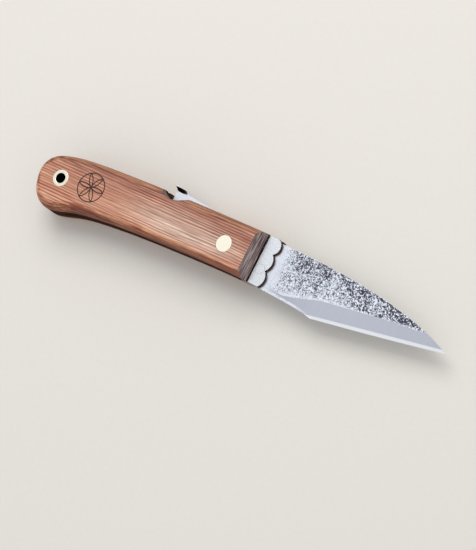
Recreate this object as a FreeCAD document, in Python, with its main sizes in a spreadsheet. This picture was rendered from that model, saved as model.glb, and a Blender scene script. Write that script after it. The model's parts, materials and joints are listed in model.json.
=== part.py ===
import FreeCAD, Part
import math
import os
import Sketcher

# Lock-back whittling knife, lying on its left side with the blade open.
# Millimetres. Origin: the middle of the lanyard tube. +X to the blade's tip, +Y to the spine,
# +Z out of the right side. The plane Z = 0 runs through the middle of the blade.

doc = FreeCAD.newDocument("whittling_knife")
sheet = doc.addObject("Spreadsheet::Sheet", "dims")

DIMENSIONS = [
    ("blade_half", 1.4, "half the blade's thickness"),
    ("slot_half", 1.5, "half the gap between the liners"),
    ("liner_thick", 1.3, "steel liner"),
    ("fibre_thick", 0.8, "black fibre sheet under each scale"),
    ("scale_thick", 5.55, "wooden scale"),
    ("round_in", 3.2, "how far the scale's rounding comes in from its outline"),
    ("front_far", 95.05, "scale's front end at the liner"),
    ("front_slant", 2.8, "how far the front end leans back at the outer face"),
    ("front_tilt", 2.48, "tilt of the front end, degrees"),
    ("pivot_x", 97.5, "blade pivot"),
    ("pivot_y", 4.25, "blade pivot"),
    ("pivot_radius", 2.0, "pivot pin"),
    ("pivot_hole", 2.03, "running hole in the blade"),
    ("tang_radius", 9.6, "round tang"),
    ("notch_radius", 8.1, "bottom of the lock notch, from the pivot"),
    ("tooth_radius", 9.75, "underside of the lock tooth, from the pivot"),
    ("bar_half", 1.42, "half the lock bar's thickness"),
    ("bar_under", 13.0, "underside of the lock bar"),
    ("rocker_x", 67.0, "lock bar's pin"),
    ("rocker_y", 14.85, "lock bar's pin"),
    ("rocker_radius", 1.0, "lock bar's pin"),
    ("rocker_hole", 1.04, "running hole in the lock bar"),
    ("stud_x", 80.9, "brass stud in each scale"),
    ("stud_y", 6.2, "brass stud in each scale"),
    ("stud_radius", 3.5, "brass stud"),
    ("tube_radius", 3.5, "lanyard tube"),
    ("tube_bore", 2.1, "lanyard tube's bore"),
    ("scoop_x", 48.8, "centre of the thumb scoop's arc"),
    ("scoop_y", 21.2, "centre of the thumb scoop's arc"),
    ("scoop_radius", 8.8, "thumb scoop's arc"),
    ("pin_radius", 1.0, "hidden pins"),
    ("spring_pin_x", 22.0, "pin over the leaf spring"),
    ("spring_pin_y", 11.7, "pin over the leaf spring"),
    ("upper_pin_x", -6.5, "upper pin of the back spacer"),
    ("upper_pin_y", 2.5, "upper pin of the back spacer"),
    ("lower_pin_x", -2.5, "lower pin of the back spacer"),
    ("lower_pin_y", -8.0, "lower pin of the back spacer"),
]

VALUE = {}
for row, (alias, value, note) in enumerate(DIMENSIONS, start=1):
    sheet.set(f"A{row}", note)
    sheet.set(f"B{row}", str(value))
    sheet.setAlias(f"B{row}", alias)
    VALUE[alias] = value
doc.recompute()

LINER_OUT = VALUE["slot_half"] + VALUE["liner_thick"]
SCALE_IN = LINER_OUT + VALUE["fibre_thick"]
SCALE_OUT = SCALE_IN + VALUE["scale_thick"]
PIVOT = (VALUE["pivot_x"], VALUE["pivot_y"])
LINER_HALF = "dims.slot_half + dims.liner_thick"
HALF_WIDTH = LINER_HALF + " + dims.fibre_thick + dims.scale_thick"

# The grip's outline, from the front's top, round the drooping tail, to the front's bottom.
GRIP_OUTLINE = [
    (103.0, 18.3), (94.5, 18.05), (69.2, 16.75), (44.2, 15.3), (26.7, 14.0), (12.0, 12.6),
    (-2.7, 10.0), (-9.5, 6.5), (-11.9, 1.3), (-11.0, -5.0), (-7.5, -10.6), (-2.4, -12.9),
    (3.2, -12.0), (9.5, -10.0), (20.6, -7.9), (35.3, -6.2), (50.0, -5.0), (64.7, -4.0),
    (86.5, -2.9), (103.0, -2.7),
]

# The liner's scalloped front: three arcs, each given by its start, middle and end.
SCALLOPS = [
    ((98.5, 18.22), (101.05, 16.0), (99.6, 11.5)),
    ((99.6, 11.5), (101.4, 7.9), (99.95, 4.3)),
    ((99.95, 4.3), (101.7, 0.9), (100.2, -2.74)),
]

BLADE_SPINE = [
    (95.5, 16.9), (103.0, 17.3), (115.0, 17.5), (127.9, 17.4), (143.8, 16.7), (159.7, 15.0),
    (171.6, 12.9), (180.0, 10.75), (189.1, 7.72),
]
BLADE_EDGE = [(189.1, 7.72), (171.6, 4.1), (142.2, -1.5), (127.0, -4.2)]
BLADE_RICASSO = [(127.0, -4.2), (121.5, -3.5), (112.0, -3.0), (104.0, -2.8)]
RICASSO_Y = -2.75

# The lock notch in the tang and the tooth that drops into it, by X.
NOTCH_BACK = 91.6
NOTCH_FRONT = 95.5
TOOTH_BACK = 92.0
TOOTH_FRONT = 95.2

# Stations of the ground bevel along the blade: X, the edge's Y, the grind line's Y, and
# half the blade's thickness just above the sharpened strip. At the first one the bevel has
# not begun, so its half thickness is more than the blade's.
GRIND_STATIONS = [
    (103.0, -2.9, -2.8, 1.45),
    (111.0, -3.1, -1.2, 1.05),
    (119.0, -3.4, 0.9, 0.62),
    (128.0, -4.0, 3.9, 0.28),
    (143.0, -1.5, 6.4, 0.26),
    (158.0, 1.4, 8.8, 0.26),
    (173.0, 4.2, 10.7, 0.26),
    (191.0, 7.9, 13.6, 0.20),
]

# The sharpened strip's height, half the thickness at the sharp edge, the half thickness
# above which a station is still blunt, and how little a blunt station's foot leans.
STRIP_HEIGHT = 1.15
EDGE_HALF = 0.03
SHARP_HALF = 0.4
BLUNT_LEAN = 0.02

# What the grinder's outline takes in beyond the blade: the rise at the first station, the
# half thickness the bevel's line is carried out to, and the spare outside and below it.
START_RISE = 4.0
GRIND_OUTSIDE = 2.0
GRIND_SPARE_OUT = 0.5
GRIND_SPARE_DOWN = 1.5

# Cubic millimetres that each side's bevel has to take off at the very least.
LEAST_GROUND = 1.0

# The lock bar's back, from above the tooth to where the thumb pad rests on it.
LOCK_BAR_TOP = [
    (TOOTH_FRONT, 17.75), (80.0, 17.1), (67.0, 16.5), (62.0, 17.0), (56.7, 17.35), (46.0, 17.7),
]

# The flared thumb pad from below to its top: Y, the back's X and half width, the front's X
# and half width.
THUMB_PAD_LEVELS = [
    (17.1, 46.0, 1.4, 51.5, 1.4),
    (17.7, 45.9, 2.1, 51.3, 1.41),
    (18.7, 45.4, 3.8, 50.6, 1.6),
    (19.0, 45.6, 3.6, 50.0, 1.5),
]

# The back spacer: its smooth outside round the tail, and its straight inside with the slot
# for the leaf spring.
SPACER_OUTSIDE = [
    (41.5, 15.0), (26.7, 13.85), (12.0, 12.45), (-2.6, 9.7), (-9.2, 6.2), (-11.6, 1.3),
    (-10.7, -4.9), (-7.2, -10.3), (-2.4, -12.6), (1.0, -12.3), (4.3, -11.4),
]
SPACER_INSIDE = [
    (4.3, -11.4), (4.3, 0.4), (26.0, 5.2), (26.0, 9.0), (16.0, 9.0), (16.0, 9.95),
    (27.0, 10.1), (41.5, 12.9), (41.5, 15.0),
]

# The leaf spring: a straight foot 0.9 thick, and a leaf that bends up to a rounded tip.
SPRING_FOOT = [(26.0, 9.9), (16.1, 9.9), (16.1, 9.0), (26.0, 9.0)]
SPRING_LEAF = [
    ((26.0, 9.0), (37.5, 9.35), (48.0, 11.0)),
    ((48.0, 11.0), (48.5, 11.55), (47.8, 11.9)),
    ((47.8, 11.9), (37.3, 10.25), (26.0, 9.9)),
]

# Sections in the quarter round from a scale's edge to its flat face.
ROUNDING_STEPS = 4

# Knot spans in one piece of a smooth curve.
KNOTS_A_STRETCH = 2

SUBPARTS = []


def vector(point, height=0.0):
    """An X, Y pair as a vector."""
    return FreeCAD.Vector(point[0], point[1], height)


def side_name(side):
    return "right" if side > 0 else "left"


def new_body(label):
    """An empty body, listed for export."""
    body = doc.addObject("PartDesign::Body", label)
    body.Label = label
    SUBPARTS.append(body)
    return body


def origin_plane(body, role):
    """One of a body's three origin planes."""
    for feature in body.Origin.OriginFeatures:
        if feature.Role == role:
            return feature
    raise RuntimeError("no plane " + role)


def new_sketch(body, name, role="XY_Plane", offset=None):
    """A sketch on one of the body's origin planes, moved out by an expression in the cells."""
    sketch = body.newObject("Sketcher::SketchObject", body.Label + "_" + name)
    sketch.AttachmentSupport = [(origin_plane(body, role), "")]
    sketch.MapMode = "FlatFace"
    if offset is not None:
        sketch.setExpression("AttachmentOffset.Base.z", offset)
    return sketch


def add_spline(sketch, points):
    """One smooth curve through the points, laid down in short stretches that meet smoothly."""
    curve = Part.BSplineCurve()
    curve.interpolate([vector(point) for point in points])
    knots = curve.getKnots()
    stretches = range(0, len(knots) - 1, KNOTS_A_STRETCH)
    for first in stretches:
        last = min(first + KNOTS_A_STRETCH, len(knots) - 1)
        stretch = curve.copy()
        stretch.segment(knots[first], knots[last])
        sketch.addGeometry(stretch, False)


def add_line(sketch, start, end):
    sketch.addGeometry(Part.LineSegment(vector(start), vector(end)), False)


def add_arc(sketch, start, middle, end):
    sketch.addGeometry(Part.Arc(vector(start), vector(middle), vector(end)), False)


def add_lines(sketch, points):
    """An open run of straight lines."""
    for start, end in zip(points, points[1:]):
        add_line(sketch, start, end)


def add_polygon(sketch, points):
    """A closed run of straight lines."""
    add_lines(sketch, points + points[:1])


def add_circle(sketch, radius, x=None, y=None):
    """A circle whose centre and radius are bound to cells; no cell means on the axis."""
    centre = (VALUE[x] if x else 0.0, VALUE[y] if y else 0.0)
    shape = Part.Circle(vector(centre), FreeCAD.Vector(0, 0, 1), VALUE[radius])
    circle = sketch.addGeometry(shape, False)
    size = sketch.addConstraint(Sketcher.Constraint("Radius", circle, VALUE[radius]))
    sketch.setExpression(f"Constraints[{size}]", "dims." + radius)
    if x is None:
        sketch.addConstraint(Sketcher.Constraint("Coincident", circle, 3, -1, 1))
        return
    across = sketch.addConstraint(Sketcher.Constraint("DistanceX", -1, 1, circle, 3, centre[0]))
    sketch.setExpression(f"Constraints[{across}]", "dims." + x)
    up = sketch.addConstraint(Sketcher.Constraint("DistanceY", -1, 1, circle, 3, centre[1]))
    sketch.setExpression(f"Constraints[{up}]", "dims." + y)


def pad(body, sketch, length, reverse=False):
    """Thicken a sketch by a length given as an expression in the sheet's cells."""
    feature = body.newObject("PartDesign::Pad", sketch.Name + "_pad")
    feature.Profile = sketch
    feature.setExpression("Length", length)
    feature.Reversed = reverse


def cut_through(body, sketch):
    """Pocket right through the body, both ways from the sketch, and make sure that it cut."""
    doc.recompute()
    before = body.Shape.Volume
    feature = body.newObject("PartDesign::Pocket", sketch.Name + "_cut")
    feature.Profile = sketch
    feature.Type = "ThroughAll"
    feature.Midplane = True
    doc.recompute()
    if body.Shape.Volume >= before:
        raise RuntimeError(sketch.Name + " cut nothing")


def cut_hole(body, name, radius, x=None, y=None):
    """A round hole right through the body; no cells for its place means on the origin."""
    sketch = new_sketch(body, name)
    add_circle(sketch, radius, x, y)
    cut_through(body, sketch)


def inset(points, distance):
    """Move an outline's points inwards; its two ends slide along the straight front."""
    moved = []
    last = len(points) - 1
    for index, (x, y) in enumerate(points):
        if index == 0:
            moved.append((x, y - distance))
        elif index == last:
            moved.append((x, y + distance))
        else:
            ahead = points[index + 1]
            behind = points[index - 1]
            along = (ahead[0] - behind[0], ahead[1] - behind[1])
            length = math.hypot(*along)
            moved.append((x - along[1] / length * distance, y + along[0] / length * distance))
    return moved


def grip_sketch(body, name, distance, offset):
    """The grip's closed outline, moved in by a distance and out along Z by an expression."""
    sketch = new_sketch(body, name, offset=offset)
    points = inset(GRIP_OUTLINE, distance)
    add_spline(sketch, points)
    add_line(sketch, points[-1], points[0])
    return sketch


def cut_front(body, side):
    """Trim the scale or the fibre sheet to the leaning front end."""
    sketch = new_sketch(body, "front", "XZ_Plane")
    turn = FreeCAD.Rotation(FreeCAD.Vector(0, 1, 0), VALUE["front_tilt"])
    sketch.AttachmentOffset = FreeCAD.Placement(FreeCAD.Vector(), turn)
    slope = VALUE["front_slant"] / (SCALE_OUT - LINER_OUT)
    spare = 1.0
    near = LINER_OUT - spare
    far = SCALE_OUT + spare
    ahead = 130.0
    add_polygon(sketch, [
        (VALUE["front_far"] + slope * spare, side * near),
        (VALUE["front_far"] - slope * (far - LINER_OUT), side * far),
        (ahead, side * far),
        (ahead, side * near),
    ])
    cut_through(body, sketch)


def cut_scoop(body):
    """The round thumb scoop behind the lock bar's pad."""
    cut_hole(body, "scoop", "scoop_radius", "scoop_x", "scoop_y")


def make_scale(side):
    """A wooden scale: full outline at the fibre sheet, rounded over to a flat outer face."""
    body = new_body(side_name(side) + "_scale")
    sections = []
    for step in range(ROUNDING_STEPS + 1):
        angle = math.radians(90.0 * step / ROUNDING_STEPS)
        share = math.sin(angle)
        distance = VALUE["round_in"] * (1.0 - math.cos(angle))
        height = f"{side} * ({LINER_HALF} + dims.fibre_thick + dims.scale_thick * {share})"
        sections.append(grip_sketch(body, f"section_{step}", distance, height))
    doc.recompute()
    loft = body.newObject("PartDesign::AdditiveLoft", body.Label + "_loft")
    loft.Profile = sections[0]
    loft.Sections = sections[1:]
    cut_front(body, side)
    cut_scoop(body)
    cut_hole(body, "stud_hole", "stud_radius", "stud_x", "stud_y")
    cut_hole(body, "tube_hole", "tube_radius")


def make_fibre(side):
    """The thin black sheet between a liner and its scale."""
    body = new_body(side_name(side) + "_fibre_sheet")
    sketch = grip_sketch(body, "outline", 0.0, f"{side} * ({LINER_HALF})")
    pad(body, sketch, "dims.fibre_thick", reverse=side < 0)
    cut_front(body, side)
    cut_scoop(body)
    cut_hole(body, "stud_hole", "stud_radius", "stud_x", "stud_y")
    cut_hole(body, "tube_hole", "tube_radius")


def make_liner(side):
    """A steel liner whose bare front end is cut to three scallops."""
    body = new_body(side_name(side) + "_liner")
    sketch = grip_sketch(body, "outline", 0.0, f"{side} * dims.slot_half")
    pad(body, sketch, "dims.liner_thick", reverse=side < 0)
    front = new_sketch(body, "scallops")
    for start, middle, end in SCALLOPS:
        add_arc(front, start, middle, end)
    top = SCALLOPS[0][0]
    bottom = SCALLOPS[-1][2]
    ahead = 110.0
    above = 25.0
    below = -10.0
    add_lines(front, [
        bottom,
        (bottom[0], below),
        (ahead, below),
        (ahead, above),
        (top[0], above),
        top,
    ])
    cut_through(body, front)
    cut_scoop(body)
    cut_hole(body, "tube_hole", "tube_radius")
    cut_hole(body, "pivot_hole", "pivot_radius", "pivot_x", "pivot_y")
    cut_hole(body, "rocker_hole", "rocker_radius", "rocker_x", "rocker_y")
    cut_hole(body, "spring_pin_hole", "pin_radius", "spring_pin_x", "spring_pin_y")
    cut_hole(body, "upper_pin_hole", "pin_radius", "upper_pin_x", "upper_pin_y")
    cut_hole(body, "lower_pin_hole", "pin_radius", "lower_pin_x", "lower_pin_y")


def on_arc(radius, x):
    """The upper point at X on a circle round the pivot."""
    across = x - PIVOT[0]
    return (x, PIVOT[1] + math.sqrt(radius ** 2 - across ** 2))


def ground_surface(index):
    """The ground face at a station in Y and half thickness: outside the blade, foot and edge."""
    edge, line, half = GRIND_STATIONS[index][1:]
    foot = edge + STRIP_HEIGHT
    if half > VALUE["blade_half"]:
        return [(foot + START_RISE, half), (foot, half), (edge, half - BLUNT_LEAN)]
    slope = (VALUE["blade_half"] - half) / (line - foot)
    rise = (GRIND_OUTSIDE - half) / slope
    at_edge = EDGE_HALF if half < SHARP_HALF else half - BLUNT_LEAN
    return [(foot + rise, GRIND_OUTSIDE), (foot, half), (edge, at_edge)]


def grind_sketch(body, index, side):
    """What the grinder takes off one side at a station, as a closed outline in Y and Z."""
    station = str(GRIND_STATIONS[index][0])
    sketch = new_sketch(body, f"grind_{side_name(side)}_{index}", "YZ_Plane", station)
    outer, foot, edge = ground_surface(index)
    below = edge[0] - GRIND_SPARE_DOWN
    out = GRIND_OUTSIDE + GRIND_SPARE_OUT
    outline = [outer, foot, edge, (below, edge[1]), (below, out), (outer[0], out)]
    add_polygon(sketch, [(y, side * z) for y, z in outline])
    return sketch


def grind_side(body, side):
    """Grind one side of the blade, through all the stations."""
    doc.recompute()
    before = body.Shape.Volume
    sections = [grind_sketch(body, index, side) for index in range(len(GRIND_STATIONS))]
    doc.recompute()
    loft = body.newObject("PartDesign::SubtractiveLoft", "grind_" + side_name(side))
    loft.Profile = sections[0]
    loft.Sections = sections[1:]
    loft.Ruled = True
    doc.recompute()
    if body.Shape.Volume > before - LEAST_GROUND:
        raise RuntimeError("the bevel was not ground")


def add_tang(sketch):
    """The tang's outline: its flat bottom, its round back, and the lock notch in its top."""
    tang = VALUE["tang_radius"]
    notch = VALUE["notch_radius"]
    reach = math.sqrt(tang ** 2 - (PIVOT[1] - RICASSO_Y) ** 2)
    bottom = (PIVOT[0] - reach, RICASSO_Y)
    notch_middle = (NOTCH_BACK + NOTCH_FRONT) / 2
    notch_floor = [on_arc(notch, x) for x in (NOTCH_BACK, notch_middle, NOTCH_FRONT)]
    add_lines(sketch, [BLADE_RICASSO[-1], (PIVOT[0], RICASSO_Y), bottom])
    add_arc(sketch, bottom, (PIVOT[0] - tang, PIVOT[1]), on_arc(tang, NOTCH_BACK))
    add_line(sketch, on_arc(tang, NOTCH_BACK), notch_floor[0])
    add_arc(sketch, *notch_floor)
    add_line(sketch, notch_floor[-1], BLADE_SPINE[0])


def make_blade():
    """The blade with its round tang, lock notch, ground bevels and sharpened strip."""
    body = new_body("blade")
    outline = new_sketch(body, "outline", offset="-dims.blade_half")
    add_spline(outline, BLADE_SPINE)
    add_spline(outline, BLADE_EDGE)
    add_spline(outline, BLADE_RICASSO)
    add_tang(outline)
    pad(body, outline, "2 * dims.blade_half")
    for side in (1, -1):
        grind_side(body, side)
    cut_hole(body, "pivot_hole", "pivot_hole", "pivot_x", "pivot_y")


def add_thumb_pad(body):
    """The flared pad on the back of the lock bar."""
    sections = []
    for index, (height, back, back_half, front, front_half) in enumerate(THUMB_PAD_LEVELS):
        sketch = new_sketch(body, f"thumb_pad_{index}", "XZ_Plane", str(-height))
        add_polygon(sketch, [
            (back, back_half),
            (front, front_half),
            (front, -front_half),
            (back, -back_half),
        ])
        sections.append(sketch)
    doc.recompute()
    loft = body.newObject("PartDesign::AdditiveLoft", "thumb_pad")
    loft.Profile = sections[0]
    loft.Sections = sections[1:]
    loft.Ruled = True
    doc.recompute()


def make_lock_bar():
    """The spine lock: a rocking bar with a tooth in front and a flared thumb pad behind."""
    body = new_body("lock_bar")
    outline = new_sketch(body, "outline", offset="-dims.bar_half")
    under = VALUE["bar_under"]
    tooth_middle = (TOOTH_BACK + TOOTH_FRONT) / 2
    tooth = [on_arc(VALUE["tooth_radius"], x) for x in (TOOTH_BACK, tooth_middle, TOOTH_FRONT)]
    head = LOCK_BAR_TOP[-1]
    add_spline(outline, LOCK_BAR_TOP)
    add_lines(outline, [head, (head[0], under), (TOOTH_BACK, under), tooth[0]])
    add_arc(outline, *tooth)
    add_line(outline, tooth[-1], LOCK_BAR_TOP[0])
    pad(body, outline, "2 * dims.bar_half")
    doc.recompute()
    add_thumb_pad(body)
    cut_hole(body, "rocker_hole", "rocker_hole", "rocker_x", "rocker_y")


def make_back_spacer():
    """The steel spacer that closes the tail and the back, with a slot that grips the spring."""
    body = new_body("back_spacer")
    outline = new_sketch(body, "outline", offset="-dims.slot_half")
    add_spline(outline, SPACER_OUTSIDE)
    add_lines(outline, SPACER_INSIDE)
    pad(body, outline, "2 * dims.slot_half")
    cut_hole(body, "tube_hole", "tube_radius")
    cut_hole(body, "spring_pin_hole", "pin_radius", "spring_pin_x", "spring_pin_y")
    cut_hole(body, "upper_pin_hole", "pin_radius", "upper_pin_x", "upper_pin_y")
    cut_hole(body, "lower_pin_hole", "pin_radius", "lower_pin_x", "lower_pin_y")


def make_lock_spring():
    """A leaf held in the spacer's slot that reaches up under the lock bar."""
    body = new_body("lock_spring")
    outline = new_sketch(body, "outline", offset="-dims.blade_half")
    add_lines(outline, SPRING_FOOT)
    for start, middle, end in SPRING_LEAF:
        add_arc(outline, start, middle, end)
    pad(body, outline, "2 * dims.blade_half")


def make_pin(label, radius, places):
    """A pin, or a group of like pins, across the knife, flush with the liners' outsides."""
    body = new_body(label)
    sketch = new_sketch(body, "outline", offset=f"-({LINER_HALF})")
    for x, y in places:
        add_circle(sketch, radius, x, y)
    pad(body, sketch, f"2 * ({LINER_HALF})")


def make_cylinder(name, radius, height, z, x=None, y=None):
    """An upright cylinder bound to cells; no cells for its place means on the origin."""
    cylinder = doc.addObject("Part::Cylinder", name)
    cylinder.setExpression("Radius", "dims." + radius)
    cylinder.setExpression("Height", height)
    if x is not None:
        cylinder.setExpression("Placement.Base.x", "dims." + x)
        cylinder.setExpression("Placement.Base.y", "dims." + y)
    cylinder.setExpression("Placement.Base.z", z)
    return cylinder


def make_stud(side):
    """A brass stud set flush in a scale, down to the liner; a through pin would stop the blade."""
    depth = "dims.fibre_thick + dims.scale_thick"
    foot = LINER_HALF if side > 0 else f"-({HALF_WIDTH})"
    name = side_name(side) + "_brass_stud"
    SUBPARTS.append(make_cylinder(name, "stud_radius", depth, foot, "stud_x", "stud_y"))


def make_lanyard_tube():
    """A brass tube across the tail, flush with both scales."""
    height = f"2 * ({HALF_WIDTH})"
    foot = f"-({HALF_WIDTH})"
    tube = doc.addObject("Part::Cut", "lanyard_tube")
    tube.Base = make_cylinder("tube_outside", "tube_radius", height, foot)
    tube.Tool = make_cylinder("tube_bore_cut", "tube_bore", height, foot)
    SUBPARTS.append(tube)


def export_subparts():
    """Write each piece to its own STEP file, and print what it holds."""
    doc.recompute()
    for item in doc.Objects:
        if "Invalid" in item.State or "Error" in item.State:
            raise RuntimeError(f"{item.Name} is {item.State}")
    os.makedirs("parts", exist_ok=True)
    for item in SUBPARTS:
        if item.Shape.isNull() or not item.Shape.isValid():
            raise RuntimeError(item.Label + " has a bad shape")
        box = item.Shape.BoundBox
        print(f"{item.Label:20s} {len(item.Shape.Solids)} solid(s) {item.Shape.Volume:9.1f} mm3")
        print(f"  X {box.XMin:7.2f} {box.XMax:7.2f}  Y {box.YMin:7.2f} {box.YMax:7.2f}"
              f"  Z {box.ZMin:6.2f} {box.ZMax:6.2f}")
        item.Shape.exportStep(f"parts/{item.Label}.step")


make_blade()
make_lock_bar()
for side in (1, -1):
    make_liner(side)
    make_fibre(side)
    make_scale(side)
    make_stud(side)
make_back_spacer()
make_lock_spring()
make_pin("pivot_pin", "pivot_radius", [("pivot_x", "pivot_y")])
make_pin("lock_bar_pin", "rocker_radius", [("rocker_x", "rocker_y")])
make_pin("spring_pin", "pin_radius", [("spring_pin_x", "spring_pin_y")])
make_pin("spacer_pins", "pin_radius", [
    ("upper_pin_x", "upper_pin_y"),
    ("lower_pin_x", "lower_pin_y"),
])
make_lanyard_tube()
export_subparts()
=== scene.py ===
import json
import math

import bmesh
import bpy
from bpy.props import FloatProperty, FloatVectorProperty, PointerProperty
from mathutils import Matrix, Vector

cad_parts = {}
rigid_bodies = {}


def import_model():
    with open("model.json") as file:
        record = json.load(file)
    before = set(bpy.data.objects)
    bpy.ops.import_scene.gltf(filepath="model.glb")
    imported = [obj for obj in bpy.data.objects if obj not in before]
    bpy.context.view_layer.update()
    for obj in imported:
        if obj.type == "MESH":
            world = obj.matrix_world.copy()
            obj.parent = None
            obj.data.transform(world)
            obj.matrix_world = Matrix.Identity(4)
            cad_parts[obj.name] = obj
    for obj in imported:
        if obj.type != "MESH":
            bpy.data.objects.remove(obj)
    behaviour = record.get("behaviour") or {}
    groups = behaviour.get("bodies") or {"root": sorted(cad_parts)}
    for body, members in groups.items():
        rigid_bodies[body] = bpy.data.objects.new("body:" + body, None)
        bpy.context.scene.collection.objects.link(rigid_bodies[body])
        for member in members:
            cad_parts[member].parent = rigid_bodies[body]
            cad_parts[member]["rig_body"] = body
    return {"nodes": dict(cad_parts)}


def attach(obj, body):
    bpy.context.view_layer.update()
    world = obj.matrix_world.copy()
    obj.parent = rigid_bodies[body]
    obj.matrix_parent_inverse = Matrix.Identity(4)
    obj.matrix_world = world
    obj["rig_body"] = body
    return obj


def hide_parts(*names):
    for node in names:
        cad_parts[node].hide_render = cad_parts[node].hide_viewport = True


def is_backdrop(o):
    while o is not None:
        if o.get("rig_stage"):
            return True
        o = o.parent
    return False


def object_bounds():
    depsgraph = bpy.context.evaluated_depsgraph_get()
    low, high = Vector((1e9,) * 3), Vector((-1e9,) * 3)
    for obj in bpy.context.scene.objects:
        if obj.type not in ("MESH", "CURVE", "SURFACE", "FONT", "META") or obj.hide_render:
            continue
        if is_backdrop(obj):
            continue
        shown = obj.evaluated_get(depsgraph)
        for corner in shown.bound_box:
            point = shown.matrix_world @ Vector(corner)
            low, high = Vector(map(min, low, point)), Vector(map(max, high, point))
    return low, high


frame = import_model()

bl_info = {
    "name": "Whittling Knife Looks",
    "version": (1, 0, 0),
    "blender": (4, 5, 0),
    "location": "3D View > Sidebar > Knife",
    "description": "Finishes the pieces of a lock-back whittling knife and sets its stage",
    "category": "Object",
}

MM = 0.001
PER_METRE = 1000.0

# Points closer than SAME_PLACE, in metres, are one point. Faces that lean apart by less than
# SAME_PLANE are one face. Edges that turn by more than SHARP are rounded over.
SAME_PLACE = 1e-6
SAME_PLANE = math.radians(0.05)
SHARP = math.radians(30)

# The grind line turns by about 8 degrees, and stays crisp because that is more than this.
GRIND_LINE = math.radians(3)

# Widths in mm to which the edges are rounded over, the steps of a rounding, and its round shape.
WOOD_ROUND = 0.25
BLADE_ROUND = 0.25
LINER_ROUND = 0.12
BRASS_ROUND = 0.15
LEVER_ROUND = 0.2
SPACER_ROUND = 0.15
ROUND_STEPS = 3
ROUND_PROFILE = 0.5

# The part of the blade's back that is rounded over: from X, to X, and above Y, in mm.
BACK_FROM = 103.5
BACK_TO = 170.0
BACK_ABOVE = 9.5

# The wave texture goes through one wave in this much of its coordinate.
WAVE_TURN = 2 * math.pi / 20

# Places as X and Y, and radii, in mm.
TUBE_BORE = 2.1
SCOOP_CENTRE = (48.8, 21.2)
SCOOP_RADIUS = 8.8
MARK_CENTRE = (14.6, 2.1)
# The pale patch mid-grip is a painted highlight: its centre, its reach along and across, and its
# rise.
PAINTED_HIGHLIGHT_CENTRE = (63, 3.5)
PAINTED_HIGHLIGHT_REACH = (36, 8.5)
PAINTED_HIGHLIGHT_RISE = math.radians(2)

# The cutting edge and the two stretches of the grind line: where each starts and how it rises.
EDGE_HEEL = (127.0, -4.2)
EDGE_RISE = math.atan2(11.92, 62.1)
GRIND_BEND = (128.0, 3.9)
GRIND_RISE_HEEL = math.atan2(6.7, 25.0)
GRIND_RISE_FRONT = math.atan2(6.8, 45.0)

# A size in mm so large that a pattern doesn't change through the knife.
RIGHT_THROUGH = 1000

# Sizes in mm of what each pattern is made of: along the knife, across it and through it.
WANDER_SIZE = (60, 9, 9)
RING_STRENGTH_SIZE = (22, 3.5, 6)
STREAK_SIZE = (40, 0.45, 1.5)
BAND_SIZE = (45, 2.6, 4)
EDGE_FIGURE_SIZE = (28, 1.2, 0.9)
PORE_SIZE = (7, 0.28, 0.28)
PIT_CLOUD_SIZE = (7, 7, 7)
SCOOP_LAYER_SIZE = (20 / 3, 20 / 3, 0.9)
GRIND_SCRATCH_SIZE = (0.4, 14, 14)
POLISH_LINE_SIZE = (25, 0.35, 0.35)
BELT_LINE_SIZE = (10, 0.3, 0.3)
OIL_CLOUD_SIZE = (0.7, 0.7, 0.7)
BRASS_SCRATCH_SIZE = (0.5, 3, 3)
FLECK_SIZE = (0.3, 0.3, 0.3)
PAPER_TOOTH_SIZE = (2, 2, 2)

# How the stripes of the wood rise to the tip, and how the scratches are turned.
STRIPE_RISE = math.radians(2.4)
GRIND_SCRATCH_TURN = math.radians(12)
BRASS_SCRATCH_TURN = math.radians(40)

# From the knife to the softbox and to the camera, and the camera's way up.
TO_SOFTBOX = (-0.24, 0.52, 0.87)
TO_CAMERA = (0.507, -0.058, 0.86)
CAMERA_UP = (-0.391, 0.873, 0.29)

# The point in mm that the camera looks at, the width in mm that it sees there, and its sensor.
CAMERA_TARGET = (90.2, -1.95, 3.1)
SEEN_WIDTH = 218.4
SENSOR_WIDTH = 36.0


def linear(hex_colour, alpha=1.0):
    """An sRGB hex colour such as #BE8270 as linear red, green, blue and alpha."""
    parts = [int(hex_colour[i:i + 2], 16) / 255 for i in (1, 3, 5)]
    return tuple(
        c / 12.92 if c <= 0.04045 else ((c + 0.055) / 1.055) ** 2.4 for c in parts
    ) + (alpha,)


def colour_property(name, description, hex_colour):
    """A colour that a user may change, with its default given as sRGB hex."""
    return FloatVectorProperty(
        name=name,
        description=description,
        subtype="COLOR",
        size=4,
        min=0.0,
        max=1.0,
        default=linear(hex_colour),
    )


def size_property(name, description, millimetres):
    """A length that a user may change, with its default given in millimetres."""
    return FloatProperty(
        name=name,
        description=description,
        unit="LENGTH",
        subtype="DISTANCE",
        min=0.0,
        default=millimetres * MM,
        precision=5,
    )


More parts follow.
